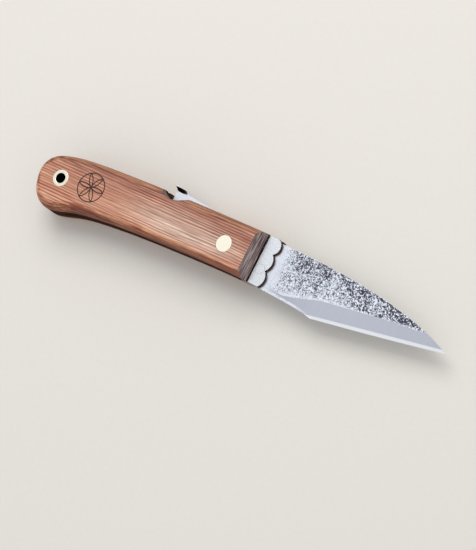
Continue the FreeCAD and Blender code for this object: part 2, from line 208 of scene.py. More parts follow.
class KnifeWoodSettings(bpy.types.PropertyGroup):
    """Colours and grain sizes of the wood scales."""

    early: colour_property("Early wood", "Pale stripes between the rings", "#CC9880")
    ring: colour_property("Ring", "Red-brown stripes of the rings", "#863F2E")
    low_early: colour_property("Lower early wood", "Pale stripes of the lower half", "#EAB698")
    low_ring: colour_property("Lower ring", "Stripes of the lower half", "#A6583C")
    # Painted highlight: paler copies of the stripes for a pool of light mid-grip.
    painted_highlight_early: colour_property("Bleached early wood", "Pale stripes mid-grip", "#F8E0CC")
    painted_highlight_ring: colour_property("Bleached ring", "Stripes mid-grip", "#B47C64")
    edge_tan: colour_property("Rounded edges", "Tan figure of the rounded edges", "#F2AE84")
    edge_red: colour_property("Edge streaks", "Red-brown streaks of the rounded edges", "#944A34")
    crease: colour_property("Crease", "Dark streaks where the rounding starts", "#7A3222")
    # The front end's dark is partly painted shade, since the end faces away from the light.
    end_grain_and_shade: colour_property("End grain", "Dark resin-stained front end", "#5A4647")
    end_line: colour_property("End line", "Paler veneer lines on the front end", "#C2AFAA")
    # Underside and Back are painted shade: they darken the wood's roundings by which way they
    # face.
    under: colour_property("Underside", "What handling leaves of the underside's light", "#A88876")
    back: colour_property("Back", "What handling leaves of the light off the back", "#CCC9C4")
    # The scoop's dark is partly painted shade in the hollow.
    scoop: colour_property("Scoop", "Darkened end grain in the thumb scoop", "#4B3930")
    scoop_line: colour_property("Scoop line", "Paler layers in the thumb scoop", "#8B7263")
    burn: colour_property("Burn", "Lines of the burnt rosette", "#2A1015")
    stripe: size_property("Stripe", "Distance from one ring to the next", 1.1)
    veneer: size_property("Veneer", "Thickness of one veneer on the front end", 0.4)
    mark_radius: size_property("Mark radius", "Radius of the burnt rosette", 6.0)
    mark_line: size_property("Mark line", "Width of the burnt lines", 0.46)


class KnifeSteelSettings(bpy.types.PropertyGroup):
    """Colours and sizes of the blade and the other steel pieces."""

    flat: colour_property("Blade flat", "Brushed steel between the pits", "#D6DAE3")
    pit: colour_property("Pits", "Black forging scale left in the pits", "#3A3B4A")
    ground: colour_property("Ground bevel", "Satin ground bevel", "#D5D9E3")
    # The honed strip's near white is partly a painted highlight.
    edge: colour_property("Cutting edge", "Honed strip along the edge", "#FAFCFF")
    liner: colour_property("Liner", "Polished faces of the liners", "#E9ECF0")
    # The sawn wall colour is painted shade on plate edges, plate insides and the lever's
    # underside.
    wall: colour_property("Sawn wall", "Dark edges and insides of the plates", "#4A3226")
    lever: colour_property("Lock lever", "Satin faces of the lock lever", "#E4E6EC")
    # Hidden steel is painted shade: the steel inside the grip drawn near black.
    hidden: colour_property("Hidden steel", "Steel inside the grip", "#332C28")
    pit_size: size_property("Pit size", "Distance from one pit to the next", 0.95)
    strip_height: size_property("Honed strip", "Height of the honed strip", 1.15)


class KnifeTrimSettings(bpy.types.PropertyGroup):
    """Colours of the brass and of the fibre sheets."""

    brass: colour_property("Brass", "Polished brass", "#FFF8E4")
    # The bore colour is painted shade deep in the lanyard tube.
    bore: colour_property("Bore", "Tarnished bore of the lanyard tube", "#14110E")
    fibre: colour_property("Fibre", "Black vulcanised fibre", "#2A1B14")
    fibre_fleck: colour_property("Fibre fleck", "Brown flecks in the fibre", "#3A2B24")


class KnifeStageSettings(bpy.types.PropertyGroup):
    """Floor, light and camera."""

    floor: colour_property("Floor", "Pale paper floor", "#E9E4DB")
    sky: colour_property("Studio walls", "Pale light from all round", "#F4F6FA")
    floor_size: size_property("Floor size", "Side of the square floor", 4000.0)
    light_size: size_property("Softbox", "Side of the square softbox", 700.0)
    light_distance: size_property("Softbox distance", "From the knife to the softbox", 1000.0)
    camera_distance: size_property("Camera distance", "From the knife to the camera", 7500.0)
    light_power: FloatProperty(
        name="Softbox power",
        description="Light given by the softbox",
        unit="POWER",
        min=0.0,
        default=4.6,
    )
    sky_strength: FloatProperty(
        name="Studio brightness",
        description="Brightness of the pale light from all round",
        min=0.0,
        default=0.72,
    )


def add_node(tree, kind, settings=None, inputs=None, stops=()):
    """Adds a shader node with its settings, inputs and ramp stops, and gives its first output.

    Each input is a value or a link.
    """
    made = tree.nodes.new(kind)
    for name, value in (settings or {}).items():
        setattr(made, name, value)
    for key, value in (inputs or {}).items():
        named = [s for s in made.inputs if s.name == key and s.enabled]
        target = named[0] if named else made.inputs[key]
        if isinstance(value, bpy.types.NodeSocket):
            tree.links.new(value, target)
        else:
            target.default_value = value
    for place, (position, colour) in enumerate(stops):
        if place >= len(made.color_ramp.elements):
            made.color_ramp.elements.new(position)
        made.color_ramp.elements[place].position = position
        made.color_ramp.elements[place].color = colour
    return next((s for s in made.outputs if s.enabled), None)


def new_material(name):
    """An empty node material, and its tree."""
    material = bpy.data.materials.new(name)
    material.use_nodes = True
    material.node_tree.nodes.clear()
    return material, material.node_tree


def grey(level):
    """A grey ramp colour."""
    return (level, level, level, 1.0)


def place_in_mm(tree):
    """Where a point is in the row's frame, in mm."""
    place = add_node(tree, "ShaderNodeTexCoord").node.outputs["Object"]
    return add_node(tree, "ShaderNodeVectorMath", {"operation": "SCALE"},
                    {0: place, "Scale": PER_METRE})


def facing_parts(tree):
    """Which way the surface faces at a point: outputs X, Y and Z."""
    facing = add_node(tree, "ShaderNodeTexCoord").node.outputs["Normal"]
    return add_node(tree, "ShaderNodeSeparateXYZ", None, {0: facing}).node.outputs


def sized_noise(tree, at, size, detail, turn=0.0, **settings):
    """A noise made of patches of a size in mm along each axis, turned about the Z axis."""
    patches = add_node(tree, "ShaderNodeMapping", None,
                       {"Vector": at, "Scale": tuple(1 / length for length in size),
                        "Rotation": (0, 0, turn)})
    return add_node(tree, "ShaderNodeTexNoise", None,
                    {"Vector": patches, "Scale": 1.0, "Detail": detail, **settings})


def grain_lines(tree, mm):
    """The grain's own coordinates: it rises 2.4 degrees to the tip and wanders by under 1 mm."""
    laid = add_node(tree, "ShaderNodeMapping", None,
                    {"Vector": mm, "Rotation": (0, 0, -STRIPE_RISE)})
    wander = sized_noise(tree, laid, WANDER_SIZE, 1.0)
    bend = add_node(tree, "ShaderNodeMapRange", None,
                    {"Value": wander, "To Min": -0.9, "To Max": 0.9})
    bend_y = add_node(tree, "ShaderNodeCombineXYZ", None, {"Y": bend})
    return add_node(tree, "ShaderNodeVectorMath", None, {0: laid, 1: bend_y})


def ring_figure(tree, grain, streaks, bands, wood):
    """Rings, now strong and now faint, over fine streaks and broad bands: high where pale."""
    stripe_mm = wood.stripe * PER_METRE
    rings_at = add_node(tree, "ShaderNodeMapping", None,
                        {"Vector": grain, "Scale": (0.004, WAVE_TURN / stripe_mm, 0.02)})
    rings = add_node(tree, "ShaderNodeTexWave",
                     {"bands_direction": "Y", "wave_profile": "SIN"},
                     {"Vector": rings_at, "Scale": 1.0, "Distortion": 1.8, "Detail": 2.0,
                      "Detail Scale": 1.5})
    rings = rings.node.outputs["Fac"]
    strength = sized_noise(tree, grain, RING_STRENGTH_SIZE, 2.0)
    strength = add_node(tree, "ShaderNodeMapRange", None,
                        {"Value": strength, "From Min": 0.35, "From Max": 0.65, "To Min": 0.14,
                         "To Max": 0.46})
    centred = add_node(tree, "ShaderNodeMath", {"operation": "SUBTRACT"}, {0: rings, 1: 0.5})
    figure = add_node(tree, "ShaderNodeMath", {"operation": "MULTIPLY_ADD"},
                      {0: centred, 1: strength, 2: streaks})
    return add_node(tree, "ShaderNodeMath", {"operation": "MULTIPLY_ADD"},
                    {0: bands, 1: 0.4, 2: figure})


def face_wood(tree, mm, figure, bands, wood):
    """The colour of the broad faces: paler towards the belly, with a painted highlight in a patch
    mid-grip.
    """
    upper, lower, painted_highlight = (
        add_node(tree, "ShaderNodeValToRGB", None, {"Fac": figure}, [(0.44, dark), (0.96, pale)])
        for dark, pale in (
            (wood.ring, wood.early),
            (wood.low_ring, wood.low_early),
            (wood.painted_highlight_ring, wood.painted_highlight_early),
        )
    )
    height = add_node(tree, "ShaderNodeSeparateXYZ", None, {0: mm}).node.outputs["Y"]
    fall = add_node(tree, "ShaderNodeMapRange", None,
                    {"Value": height, "From Min": 11.0, "From Max": 0.0})
    fall = add_node(tree, "ShaderNodeMath", {"operation": "MULTIPLY_ADD"},
                    {0: bands, 1: 1.2, 2: fall})
    pale = add_node(tree, "ShaderNodeMapRange", None,
                    {"Value": fall, "From Min": 0.6, "From Max": 1.6})
    colour = add_node(tree, "ShaderNodeMix", {"data_type": "RGBA"},
                      {"Factor": pale, "A": upper, "B": lower})
    # Painted highlight: the stripes turn paler in a patch mid-grip.
    patch_at = add_node(tree, "ShaderNodeMapping", {"vector_type": "TEXTURE"},
                        {"Vector": mm, "Location": (*PAINTED_HIGHLIGHT_CENTRE, 0),
                         "Rotation": (0, 0, PAINTED_HIGHLIGHT_RISE),
                         "Scale": (*PAINTED_HIGHLIGHT_REACH, RIGHT_THROUGH)})
    patch_far = add_node(tree, "ShaderNodeVectorMath", {"operation": "LENGTH"}, {0: patch_at})
    patch = add_node(tree, "ShaderNodeMapRange", {"interpolation_type": "SMOOTHSTEP"},
                     {"Value": patch_far.node.outputs["Value"], "From Min": 0.2, "From Max": 1.1,
                      "To Min": 0.9, "To Max": 0.0})
    return add_node(tree, "ShaderNodeMix", {"data_type": "RGBA"},
                    {"Factor": patch, "A": colour, "B": painted_highlight})


def rounded_wood(tree, colour, grain, facing_back, wood):
    """Puts the figure of the roundings over the colour of the faces."""
    # The roundings cut the layers at a slant, so their figure is broad: tan with red streaks.
    broad = sized_noise(tree, grain, EDGE_FIGURE_SIZE, 4.0, Roughness=0.65)
    edge = add_node(tree, "ShaderNodeValToRGB", None, {"Fac": broad},
                    [(0.43, wood.edge_red), (0.57, wood.edge_tan)])
    slant = add_node(tree, "ShaderNodeMath", {"operation": "ABSOLUTE"}, {0: facing_back})
    on_edge = add_node(tree, "ShaderNodeMapRange", None,
                       {"Value": slant, "From Min": 0.08, "From Max": 0.4, "To Max": 0.85})
    colour = add_node(tree, "ShaderNodeMix", {"data_type": "RGBA"},
                      {"Factor": on_edge, "A": colour, "B": edge})

    # Dark streaks lie where the rounding starts.
    crease = add_node(tree, "ShaderNodeValToRGB", None, {"Fac": slant},
                      [(0.0, grey(0.0)), (0.12, grey(1.0)), (0.34, grey(0.0))])
    dark_bands = add_node(tree, "ShaderNodeMapRange", None,
                          {"Value": broad, "From Min": 0.58, "From Max": 0.4, "To Max": 0.75})
    crease = add_node(tree, "ShaderNodeMath", {"operation": "MULTIPLY"},
                      {0: crease, 1: dark_bands})
    colour = add_node(tree, "ShaderNodeMix", {"data_type": "RGBA"},
                      {"Factor": crease, "A": colour, "B": wood.crease})

    # Painted shade: the back's rounding is darkened a little and the underside more, by which way
    # the surface faces.
    turned = add_node(tree, "ShaderNodeMapRange", None, {"Value": facing_back, "From Min": -1.0})
    painted_facing_shade = add_node(tree, "ShaderNodeValToRGB", None, {"Fac": turned},
                       [(0.02, wood.under), (0.22, grey(1.0)), (0.54, grey(1.0)),
                        (0.64, wood.back)])
    return add_node(tree, "ShaderNodeVectorMath", {"operation": "MULTIPLY"},
                    {0: colour, 1: painted_facing_shade})


def cut_wood(tree, colour, mm, facing_front, wood):
    """Puts the end grain of the front end and of the thumb scoop over a colour, dark partly as
    painted shade.
    """
    # The slanted front end shows the veneers edge on: pale lines in a dark, resin-filled ground,
    # drawn darker still as painted shade since the end faces away from the light.
    veneers = sized_noise(tree, mm, (4, 9, wood.veneer * PER_METRE), 3.0, Roughness=0.65)
    end = add_node(tree, "ShaderNodeValToRGB", None, {"Fac": veneers},
                   [(0.42, wood.end_grain_and_shade), (0.64, wood.end_line)])
    on_end = add_node(tree, "ShaderNodeMapRange", None,
                      {"Value": facing_front, "From Min": 0.45, "From Max": 0.6})
    colour = add_node(tree, "ShaderNodeMix", {"data_type": "RGBA"},
                      {"Factor": on_end, "A": colour, "B": end})

    # The scoop is cut across the layers, which show as thin paler lines 0.9 mm apart; their dark
    # ground is partly painted shade in the hollow.
    layers = sized_noise(tree, mm, SCOOP_LAYER_SIZE, 3.0, Roughness=0.6)
    cut_across = add_node(tree, "ShaderNodeValToRGB", None, {"Fac": layers},
                          [(0.46, wood.scoop), (0.66, wood.scoop_line)])
    return add_node(tree, "ShaderNodeMix", {"data_type": "RGBA"},
                    {"Factor": in_scoop(tree, mm), "A": colour, "B": cut_across})


def laminated_wood(wood):
    """Resin-laminated hardwood, sanded and oiled.

    The eye sees close parallel stripes, a pale heart and darker rounded edges.
    """
    material, tree = new_material("Laminated hardwood, sanded and oiled")
    mm = place_in_mm(tree)
    facing = facing_parts(tree)
    grain = grain_lines(tree, mm)
    streaks = sized_noise(tree, grain, STREAK_SIZE, 3.0, Roughness=0.6)
    bands = sized_noise(tree, grain, BAND_SIZE, 2.0)
    figure = ring_figure(tree, grain, streaks, bands, wood)
    colour = face_wood(tree, mm, figure, bands, wood)
    colour = rounded_wood(tree, colour, grain, facing["Y"], wood)

    # Pores are 0.1 mm wide in the real wood and are drawn 0.28 mm wide, so that they show.
    pores = sized_noise(tree, grain, PORE_SIZE, 1.0)
    pore_shade = add_node(tree, "ShaderNodeMapRange", None,
                          {"Value": pores, "From Min": 0.4, "From Max": 0.56, "To Min": 0.74,
                           "To Max": 1.04})
    colour = add_node(tree, "ShaderNodeVectorMath", {"operation": "SCALE"},
                      {0: colour, "Scale": pore_shade})
    colour = cut_wood(tree, colour, mm, facing["X"], wood)

    burnt = rosette_lines(tree, mm, facing["Z"], wood)
    colour = add_node(tree, "ShaderNodeMix", {"data_type": "RGBA"},
                      {"Factor": burnt, "A": colour, "B": wood.burn})
    hollow = add_node(tree, "ShaderNodeMath", {"operation": "MULTIPLY_ADD"},
                      {0: burnt, 1: -3.0, 2: pores})
    normal = add_node(tree, "ShaderNodeBump", None,
                      {"Height": hollow, "Strength": 0.35, "Distance": 0.05 * MM})
    rough = add_node(tree, "ShaderNodeMapRange", None,
                     {"Value": streaks, "To Min": 0.6, "To Max": 0.46})
    surface = add_node(tree, "ShaderNodeBsdfPrincipled", None,
                       {"Base Color": colour, "Roughness": rough, "IOR": 1.5,
                        "Specular IOR Level": 0.3, "Normal": normal})
    add_node(tree, "ShaderNodeOutputMaterial", None, {"Surface": surface})
    return material


def in_scoop(tree, mm):
    """Where the wall of the thumb scoop is, which gets partly painted shade: 1 on it and 0 off it.
    """
    off_axis = add_node(tree, "ShaderNodeVectorMath", {"operation": "SUBTRACT"},
                        {0: mm, 1: (*SCOOP_CENTRE, 0)})
    level = add_node(tree, "ShaderNodeVectorMath", {"operation": "MULTIPLY"},
                     {0: off_axis, 1: (1, 1, 0)})
    far = add_node(tree, "ShaderNodeVectorMath", {"operation": "LENGTH"},
                   {0: level}).node.outputs["Value"]
    return add_node(tree, "ShaderNodeMapRange", None,
                    {"Value": far, "From Min": SCOOP_RADIUS + 0.3,
                     "From Max": SCOOP_RADIUS + 0.1})


def rosette_lines(tree, mm, facing_up, wood):
    """Where a ring with a six-petal compass rosette is burnt into the right face.

    It is 1 on the lines and 0 off them.
    """
    radius = wood.mark_radius * PER_METRE
    half_line = wood.mark_line * PER_METRE / 2
    from_centre = add_node(tree, "ShaderNodeVectorMath", {"operation": "SUBTRACT"},
                           {0: mm, 1: (*MARK_CENTRE, 0)})
    flat = add_node(tree, "ShaderNodeVectorMath", {"operation": "MULTIPLY"},
                    {0: from_centre, 1: (1, 1, 0)})
    across = add_node(tree, "ShaderNodeSeparateXYZ", None, {0: flat}).node.outputs
    far = add_node(tree, "ShaderNodeVectorMath", {"operation": "LENGTH"},
                   {0: flat}).node.outputs["Value"]
    angle = add_node(tree, "ShaderNodeMath", {"operation": "ARCTAN2"},
                     {0: across["Y"], 1: across["X"]})

    # Folding the angle into half a petal leaves one compass arc to draw.
    petal_turn = math.radians(60)
    folded = add_node(tree, "ShaderNodeMath", {"operation": "PINGPONG"},
                      {0: angle, 1: petal_turn / 2})
    along = add_node(tree, "ShaderNodeMath", {"operation": "COSINE"}, {0: folded})
    aside = add_node(tree, "ShaderNodeMath", {"operation": "SINE"}, {0: folded})
    ray = add_node(tree, "ShaderNodeCombineXYZ", None, {"X": along, "Y": aside})
    point = add_node(tree, "ShaderNodeVectorMath", {"operation": "SCALE"},
                     {0: ray, "Scale": far})
    arc_centre = (radius * math.cos(petal_turn), -radius * math.sin(petal_turn), 0)
    to_arc = add_node(tree, "ShaderNodeVectorMath", {"operation": "DISTANCE"},
                      {0: point, 1: arc_centre}).node.outputs["Value"]
    off_arc = add_node(tree, "ShaderNodeMath", {"operation": "SUBTRACT"},
                       {0: to_arc, 1: radius})
    off_arc = add_node(tree, "ShaderNodeMath", {"operation": "ABSOLUTE"}, {0: off_arc})
    off_ring = add_node(tree, "ShaderNodeMath", {"operation": "SUBTRACT"}, {0: far, 1: radius})
    near_ring = add_node(tree, "ShaderNodeMath", {"operation": "ABSOLUTE"}, {0: off_ring})
    nearest = add_node(tree, "ShaderNodeMath", {"operation": "MINIMUM"},
                       {0: off_arc, 1: near_ring})
    line = add_node(tree, "ShaderNodeMapRange", None,
                    {"Value": nearest, "From Min": half_line * 1.3,
                     "From Max": half_line * 0.6})
    inside = add_node(tree, "ShaderNodeMath", {"operation": "LESS_THAN"},
                      {0: off_ring, 1: half_line * 1.3})
    up = add_node(tree, "ShaderNodeMath", {"operation": "GREATER_THAN"}, {0: facing_up, 1: 0.5})
    line = add_node(tree, "ShaderNodeMath", {"operation": "MULTIPLY"}, {0: line, 1: inside})
    return add_node(tree, "ShaderNodeMath", {"operation": "MULTIPLY"}, {0: line, 1: up})


def height_above(tree, mm, start, rise):
    """How far a point is above a line that leaves a start point at an angle, in mm."""
    turned = add_node(tree, "ShaderNodeMapping", {"vector_type": "TEXTURE"},
                      {"Vector": mm, "Location": (*start, 0), "Rotation": (0, 0, rise)})
    return add_node(tree, "ShaderNodeSeparateXYZ", None, {0: turned}).node.outputs["Y"]


def forging_pits(tree, mm, steel):
    """Where the blade's flats would be pitted: 1 in a pit and 0 off it."""
    # Pits are curly: the lines where a noise crosses its middle value.
    curl = sized_noise(tree, mm, (steel.pit_size * PER_METRE,) * 3, 2.0, Roughness=0.55,
                       Distortion=0.6)
    from_middle = add_node(tree, "ShaderNodeMath", {"operation": "SUBTRACT"}, {0: curl, 1: 0.5})
    from_middle = add_node(tree, "ShaderNodeMath", {"operation": "ABSOLUTE"}, {0: from_middle})

    # They crowd along the back and towards the tip, and set in within 8 mm of the liners' front.
    at = add_node(tree, "ShaderNodeSeparateXYZ", None, {0: mm}).node.outputs
    near_back = add_node(tree, "ShaderNodeMapRange", None,
                         {"Value": at["Y"], "From Min": 5.0, "From Max": 15.0, "To Min": 0.5})
    near_tip = add_node(tree, "ShaderNodeMapRange", None,
                        {"Value": at["X"], "From Min": 115.0, "From Max": 148.0})
    start = add_node(tree, "ShaderNodeMapRange", {"interpolation_type": "SMOOTHSTEP"},
                     {"Value": at["X"], "From Min": 102.0, "From Max": 110.0})
    cloud = sized_noise(tree, mm, PIT_CLOUD_SIZE, 2.0)
    crowd = add_node(tree, "ShaderNodeMath", {"operation": "MAXIMUM"},
                     {0: near_back, 1: near_tip})
    crowd = add_node(tree, "ShaderNodeMath", {"operation": "MULTIPLY"}, {0: crowd, 1: start})
    crowd = add_node(tree, "ShaderNodeMath", {"operation": "MULTIPLY"}, {0: crowd, 1: cloud})

    # They thin out over the 1.4 mm above the grind line, which bends where the bevel reaches
    # its full width.
    above_heel = height_above(tree, mm, GRIND_BEND, GRIND_RISE_HEEL)
    above_front = height_above(tree, mm, GRIND_BEND, GRIND_RISE_FRONT)
    above_grind = add_node(tree, "ShaderNodeMath", {"operation": "MAXIMUM"},
                           {0: above_heel, 1: above_front})
    clear = add_node(tree, "ShaderNodeMapRange", None,
                     {"Value": above_grind, "From Min": 0.0, "From Max": 1.4, "To Min": 0.3})
    crowd = add_node(tree, "ShaderNodeMath", {"operation": "MULTIPLY"}, {0: crowd, 1: clear})
    width = add_node(tree, "ShaderNodeMath", {"operation": "MULTIPLY"}, {0: crowd, 1: 0.165})
    depth = add_node(tree, "ShaderNodeMath", {"operation": "SUBTRACT"},
                     {0: width, 1: from_middle})
    return add_node(tree, "ShaderNodeMapRange", None,
                    {"Value": depth, "From Min": -0.01, "From Max": 0.02})


def forged_blade_steel(steel):
    """Forged carbon steel, brushed, ground and honed.

    The eye sees black pits on the flats, a satin bevel and a bright edge.
    """
    material, tree = new_material("Forged carbon steel, pitted flats and ground bevel")
    mm = place_in_mm(tree)
    facing = facing_parts(tree)
    side = add_node(tree, "ShaderNodeMath", {"operation": "ABSOLUTE"}, {0: facing["Z"]})

    # The flats face straight out, and the ground bevel leans about 8 degrees from them.
    on_flat = add_node(tree, "ShaderNodeMapRange", None,
                       {"Value": side, "From Min": 0.993, "From Max": 0.998})
    pit = forging_pits(tree, mm, steel)
    pit = add_node(tree, "ShaderNodeMath", {"operation": "MULTIPLY"}, {0: pit, 1: on_flat})

    # Scratches of the bevel run from the spine to the edge, drawn 0.4 mm apart so that they show.
    scratch = sized_noise(tree, mm, GRIND_SCRATCH_SIZE, 2.0, GRIND_SCRATCH_TURN)
    shade = add_node(tree, "ShaderNodeMapRange", None,
                     {"Value": scratch, "To Min": 0.9, "To Max": 1.08})
    colour = add_node(tree, "ShaderNodeMix", {"data_type": "RGBA"},
                      {"Factor": on_flat, "A": steel.ground, "B": steel.flat})
    colour = add_node(tree, "ShaderNodeVectorMath", {"operation": "SCALE"},
                      {0: colour, "Scale": shade})
    colour = add_node(tree, "ShaderNodeMix", {"data_type": "RGBA"},
                      {"Factor": pit, "A": colour, "B": steel.pit})

    # The honed strip follows the cutting edge, which rises 10.9 degrees to the tip.
    above_edge = height_above(tree, mm, EDGE_HEEL, EDGE_RISE)
    strip_mm = steel.strip_height * PER_METRE
    honed = add_node(tree, "ShaderNodeMapRange", None,
                     {"Value": above_edge, "From Min": strip_mm + 0.1,
                      "From Max": strip_mm - 0.1})
    # The honed strip is real; its near white, half as metallic, is a painted highlight that shines
    # under any lamp.
    colour = add_node(tree, "ShaderNodeMix", {"data_type": "RGBA"},
                      {"Factor": honed, "A": colour, "B": steel.edge})

    rough = add_node(tree, "ShaderNodeMapRange", None,
                     {"Value": pit, "To Min": 0.36, "To Max": 0.7})
    rough = add_node(tree, "ShaderNodeMath", {"operation": "MULTIPLY_ADD"},
                     {0: honed, 1: -0.14, 2: rough})
    bare = add_node(tree, "ShaderNodeMapRange", None,
                    {"Value": pit, "To Min": 1.0, "To Max": 0.3})
    bare = add_node(tree, "ShaderNodeMath", {"operation": "MULTIPLY_ADD"},
                    {0: honed, 1: -0.5, 2: bare})
    hollow = add_node(tree, "ShaderNodeMath", {"operation": "MULTIPLY_ADD"},
                      {0: pit, 1: -1.0, 2: scratch})
    normal = add_node(tree, "ShaderNodeBump", None,
                      {"Height": hollow, "Strength": 0.4, "Distance": 0.08 * MM})
    surface = add_node(tree, "ShaderNodeBsdfPrincipled", None,
                       {"Base Color": colour, "Metallic": bare, "Roughness": rough,
                        "Normal": normal})
    add_node(tree, "ShaderNodeOutputMaterial", None, {"Surface": surface})
    return material


def polished_plate_steel(steel):
    """Stainless sheet, polished outside, with painted shade inside and on its cut edges.

    The eye sees bright faces with a dark outline.
    """
    material, tree = new_material("Stainless sheet, polished with dark cut edges")
    mm = place_in_mm(tree)
    facing = facing_parts(tree)
    out_of_knife = add_node(tree, "ShaderNodeSeparateXYZ", None, {0: mm}).node.outputs["Z"]
    out_of_knife = add_node(tree, "ShaderNodeMath", {"operation": "SIGN"}, {0: out_of_knife})
    outward = add_node(tree, "ShaderNodeMath", {"operation": "MULTIPLY"},
                       {0: facing["Z"], 1: out_of_knife})
    on_face = add_node(tree, "ShaderNodeMapRange", None,
                       {"Value": outward, "From Min": 0.95, "From Max": 0.99})

    # Polishing lines run along the knife, drawn 0.35 mm apart so that they show.
    lines = sized_noise(tree, mm, POLISH_LINE_SIZE, 2.0)
    shade = add_node(tree, "ShaderNodeMapRange", None,
                     {"Value": lines, "To Min": 0.93, "To Max": 1.05})
    # Painted shade: the cut edges and the inward faces take the dark wall colour.
    colour = add_node(tree, "ShaderNodeMix", {"data_type": "RGBA"},
                      {"Factor": on_face, "A": steel.wall, "B": steel.liner})
    colour = add_node(tree, "ShaderNodeVectorMath", {"operation": "SCALE"},
                      {0: colour, "Scale": shade})
    rough = add_node(tree, "ShaderNodeMapRange", None,
                     {"Value": on_face, "To Min": 0.75, "To Max": 0.24})
    bare = add_node(tree, "ShaderNodeMapRange", None,
                    {"Value": on_face, "To Min": 0.0, "To Max": 1.0})
    sheen = add_node(tree, "ShaderNodeMapRange", None,
                     {"Value": on_face, "To Min": 0.0, "To Max": 0.5})
    normal = add_node(tree, "ShaderNodeBump", None,
                      {"Height": lines, "Strength": 0.12, "Distance": 0.02 * MM})
    surface = add_node(tree, "ShaderNodeBsdfPrincipled", None,
                       {"Base Color": colour, "Metallic": bare, "Roughness": rough,
                        "Specular IOR Level": sheen, "Normal": normal})
    add_node(tree, "ShaderNodeOutputMaterial", None, {"Surface": surface})
    return material


def satin_lever_steel(steel):
    """Milled and belt-finished steel: bright satin sides and back, and an underside in painted
    shade.
    """
    material, tree = new_material("Carbon steel, milled and belt-finished")
    mm = place_in_mm(tree)
    facing = facing_parts(tree)
    # Painted shade: faces turned downwards take the dark wall colour.
    under = add_node(tree, "ShaderNodeMapRange", None,
                     {"Value": facing["Y"], "From Min": -0.05, "From Max": -0.25})

    # Belt lines run along the lever, drawn 0.3 mm apart so that they show.
    lines = sized_noise(tree, mm, BELT_LINE_SIZE, 2.0)
    shade = add_node(tree, "ShaderNodeMapRange", None,
                     {"Value": lines, "To Min": 0.9, "To Max": 1.08})
    face = add_node(tree, "ShaderNodeVectorMath", {"operation": "SCALE"},
                    {0: steel.lever[:3], "Scale": shade})
    colour = add_node(tree, "ShaderNodeMix", {"data_type": "RGBA"},
                      {"Factor": under, "A": face, "B": steel.wall})
    normal = add_node(tree, "ShaderNodeBump", None,
                      {"Height": lines, "Strength": 0.15, "Distance": 0.03 * MM})
    surface = add_node(tree, "ShaderNodeBsdfPrincipled", None,
                       {"Base Color": colour, "Metallic": 1.0, "Roughness": 0.3,
                        "Normal": normal})
    add_node(tree, "ShaderNodeOutputMaterial", None, {"Surface": surface})
    return material


def shaded_grip_steel(steel):
    """Hardened steel inside the grip, in painted shade: dull near-black with small brown clouds.
    """
    material, tree = new_material("Hardened steel in painted shade")
    mm = place_in_mm(tree)
    marks = sized_noise(tree, mm, OIL_CLOUD_SIZE, 3.0)
    colour = add_node(tree, "ShaderNodeValToRGB", None, {"Fac": marks},
                      [(0.3, steel.wall), (0.62, steel.hidden)])
    rough = add_node(tree, "ShaderNodeMapRange", None,
                     {"Value": marks, "To Min": 0.55, "To Max": 0.35})
    normal = add_node(tree, "ShaderNodeBump", None,
                      {"Height": marks, "Strength": 0.2, "Distance": 0.03 * MM})
    surface = add_node(tree, "ShaderNodeBsdfPrincipled", None,
                       {"Base Color": colour, "Roughness": rough, "Specular IOR Level": 0.0,
                        "Normal": normal})
    add_node(tree, "ShaderNodeOutputMaterial", None, {"Surface": surface})
    return material


def turned_brass(trim):
    """Brass rod and tube, turned and polished: pale gold, faintly scratched, with a bore in
    painted shade.
    """
    material, tree = new_material("Brass, turned and polished")
    mm = place_in_mm(tree)
    # Polishing scratches are drawn 0.5 mm apart so that they show.
    marks = sized_noise(tree, mm, BRASS_SCRATCH_SIZE, 2.0, BRASS_SCRATCH_TURN)
    shade = add_node(tree, "ShaderNodeMapRange", None,
                     {"Value": marks, "To Min": 0.9, "To Max": 1.06})
    bright = add_node(tree, "ShaderNodeVectorMath", {"operation": "SCALE"},
                      {0: trim.brass[:3], "Scale": shade})

    # The tube's axis is the frame's own Z axis.
    level = add_node(tree, "ShaderNodeVectorMath", {"operation": "MULTIPLY"},
                     {0: mm, 1: (1, 1, 0)})
    from_axis = add_node(tree, "ShaderNodeVectorMath", {"operation": "LENGTH"},
                         {0: level}).node.outputs["Value"]
    # Painted shade: the bore is drawn near black.
    bore_shade_mask = add_node(tree, "ShaderNodeMath", {"operation": "LESS_THAN"},
                       {0: from_axis, 1: TUBE_BORE + 0.02})
    colour = add_node(tree, "ShaderNodeMix", {"data_type": "RGBA"},
                      {"Factor": bore_shade_mask, "A": bright, "B": trim.bore})
    rough = add_node(tree, "ShaderNodeMapRange", None,
                     {"Value": bore_shade_mask, "To Min": 0.3, "To Max": 0.8})
    normal = add_node(tree, "ShaderNodeBump", None,
                      {"Height": marks, "Strength": 0.12, "Distance": 0.03 * MM})
    surface = add_node(tree, "ShaderNodeBsdfPrincipled", None,
                       {"Base Color": colour, "Metallic": 1.0, "Roughness": rough,
                        "Normal": normal})
    add_node(tree, "ShaderNodeOutputMaterial", None, {"Surface": surface})
    return material


def vulcanised_fibre(trim):
    """Black vulcanised fibre sheet, sawn and sanded: matte, near black, faintly flecked brown."""
    material, tree = new_material("Vulcanised fibre, sanded")
    mm = place_in_mm(tree)
    flecks = sized_noise(tree, mm, FLECK_SIZE, 2.0)
    colour = add_node(tree, "ShaderNodeValToRGB", None, {"Fac": flecks},
                      [(0.5, trim.fibre), (0.75, trim.fibre_fleck)])
    normal = add_node(tree, "ShaderNodeBump", None,
                      {"Height": flecks, "Strength": 0.3, "Distance": 0.03 * MM})
    surface = add_node(tree, "ShaderNodeBsdfPrincipled", None,
                       {"Base Color": colour, "Roughness": 0.85, "Specular IOR Level": 0.0,
                        "Normal": normal})
    add_node(tree, "ShaderNodeOutputMaterial", None, {"Surface": surface})
    return material


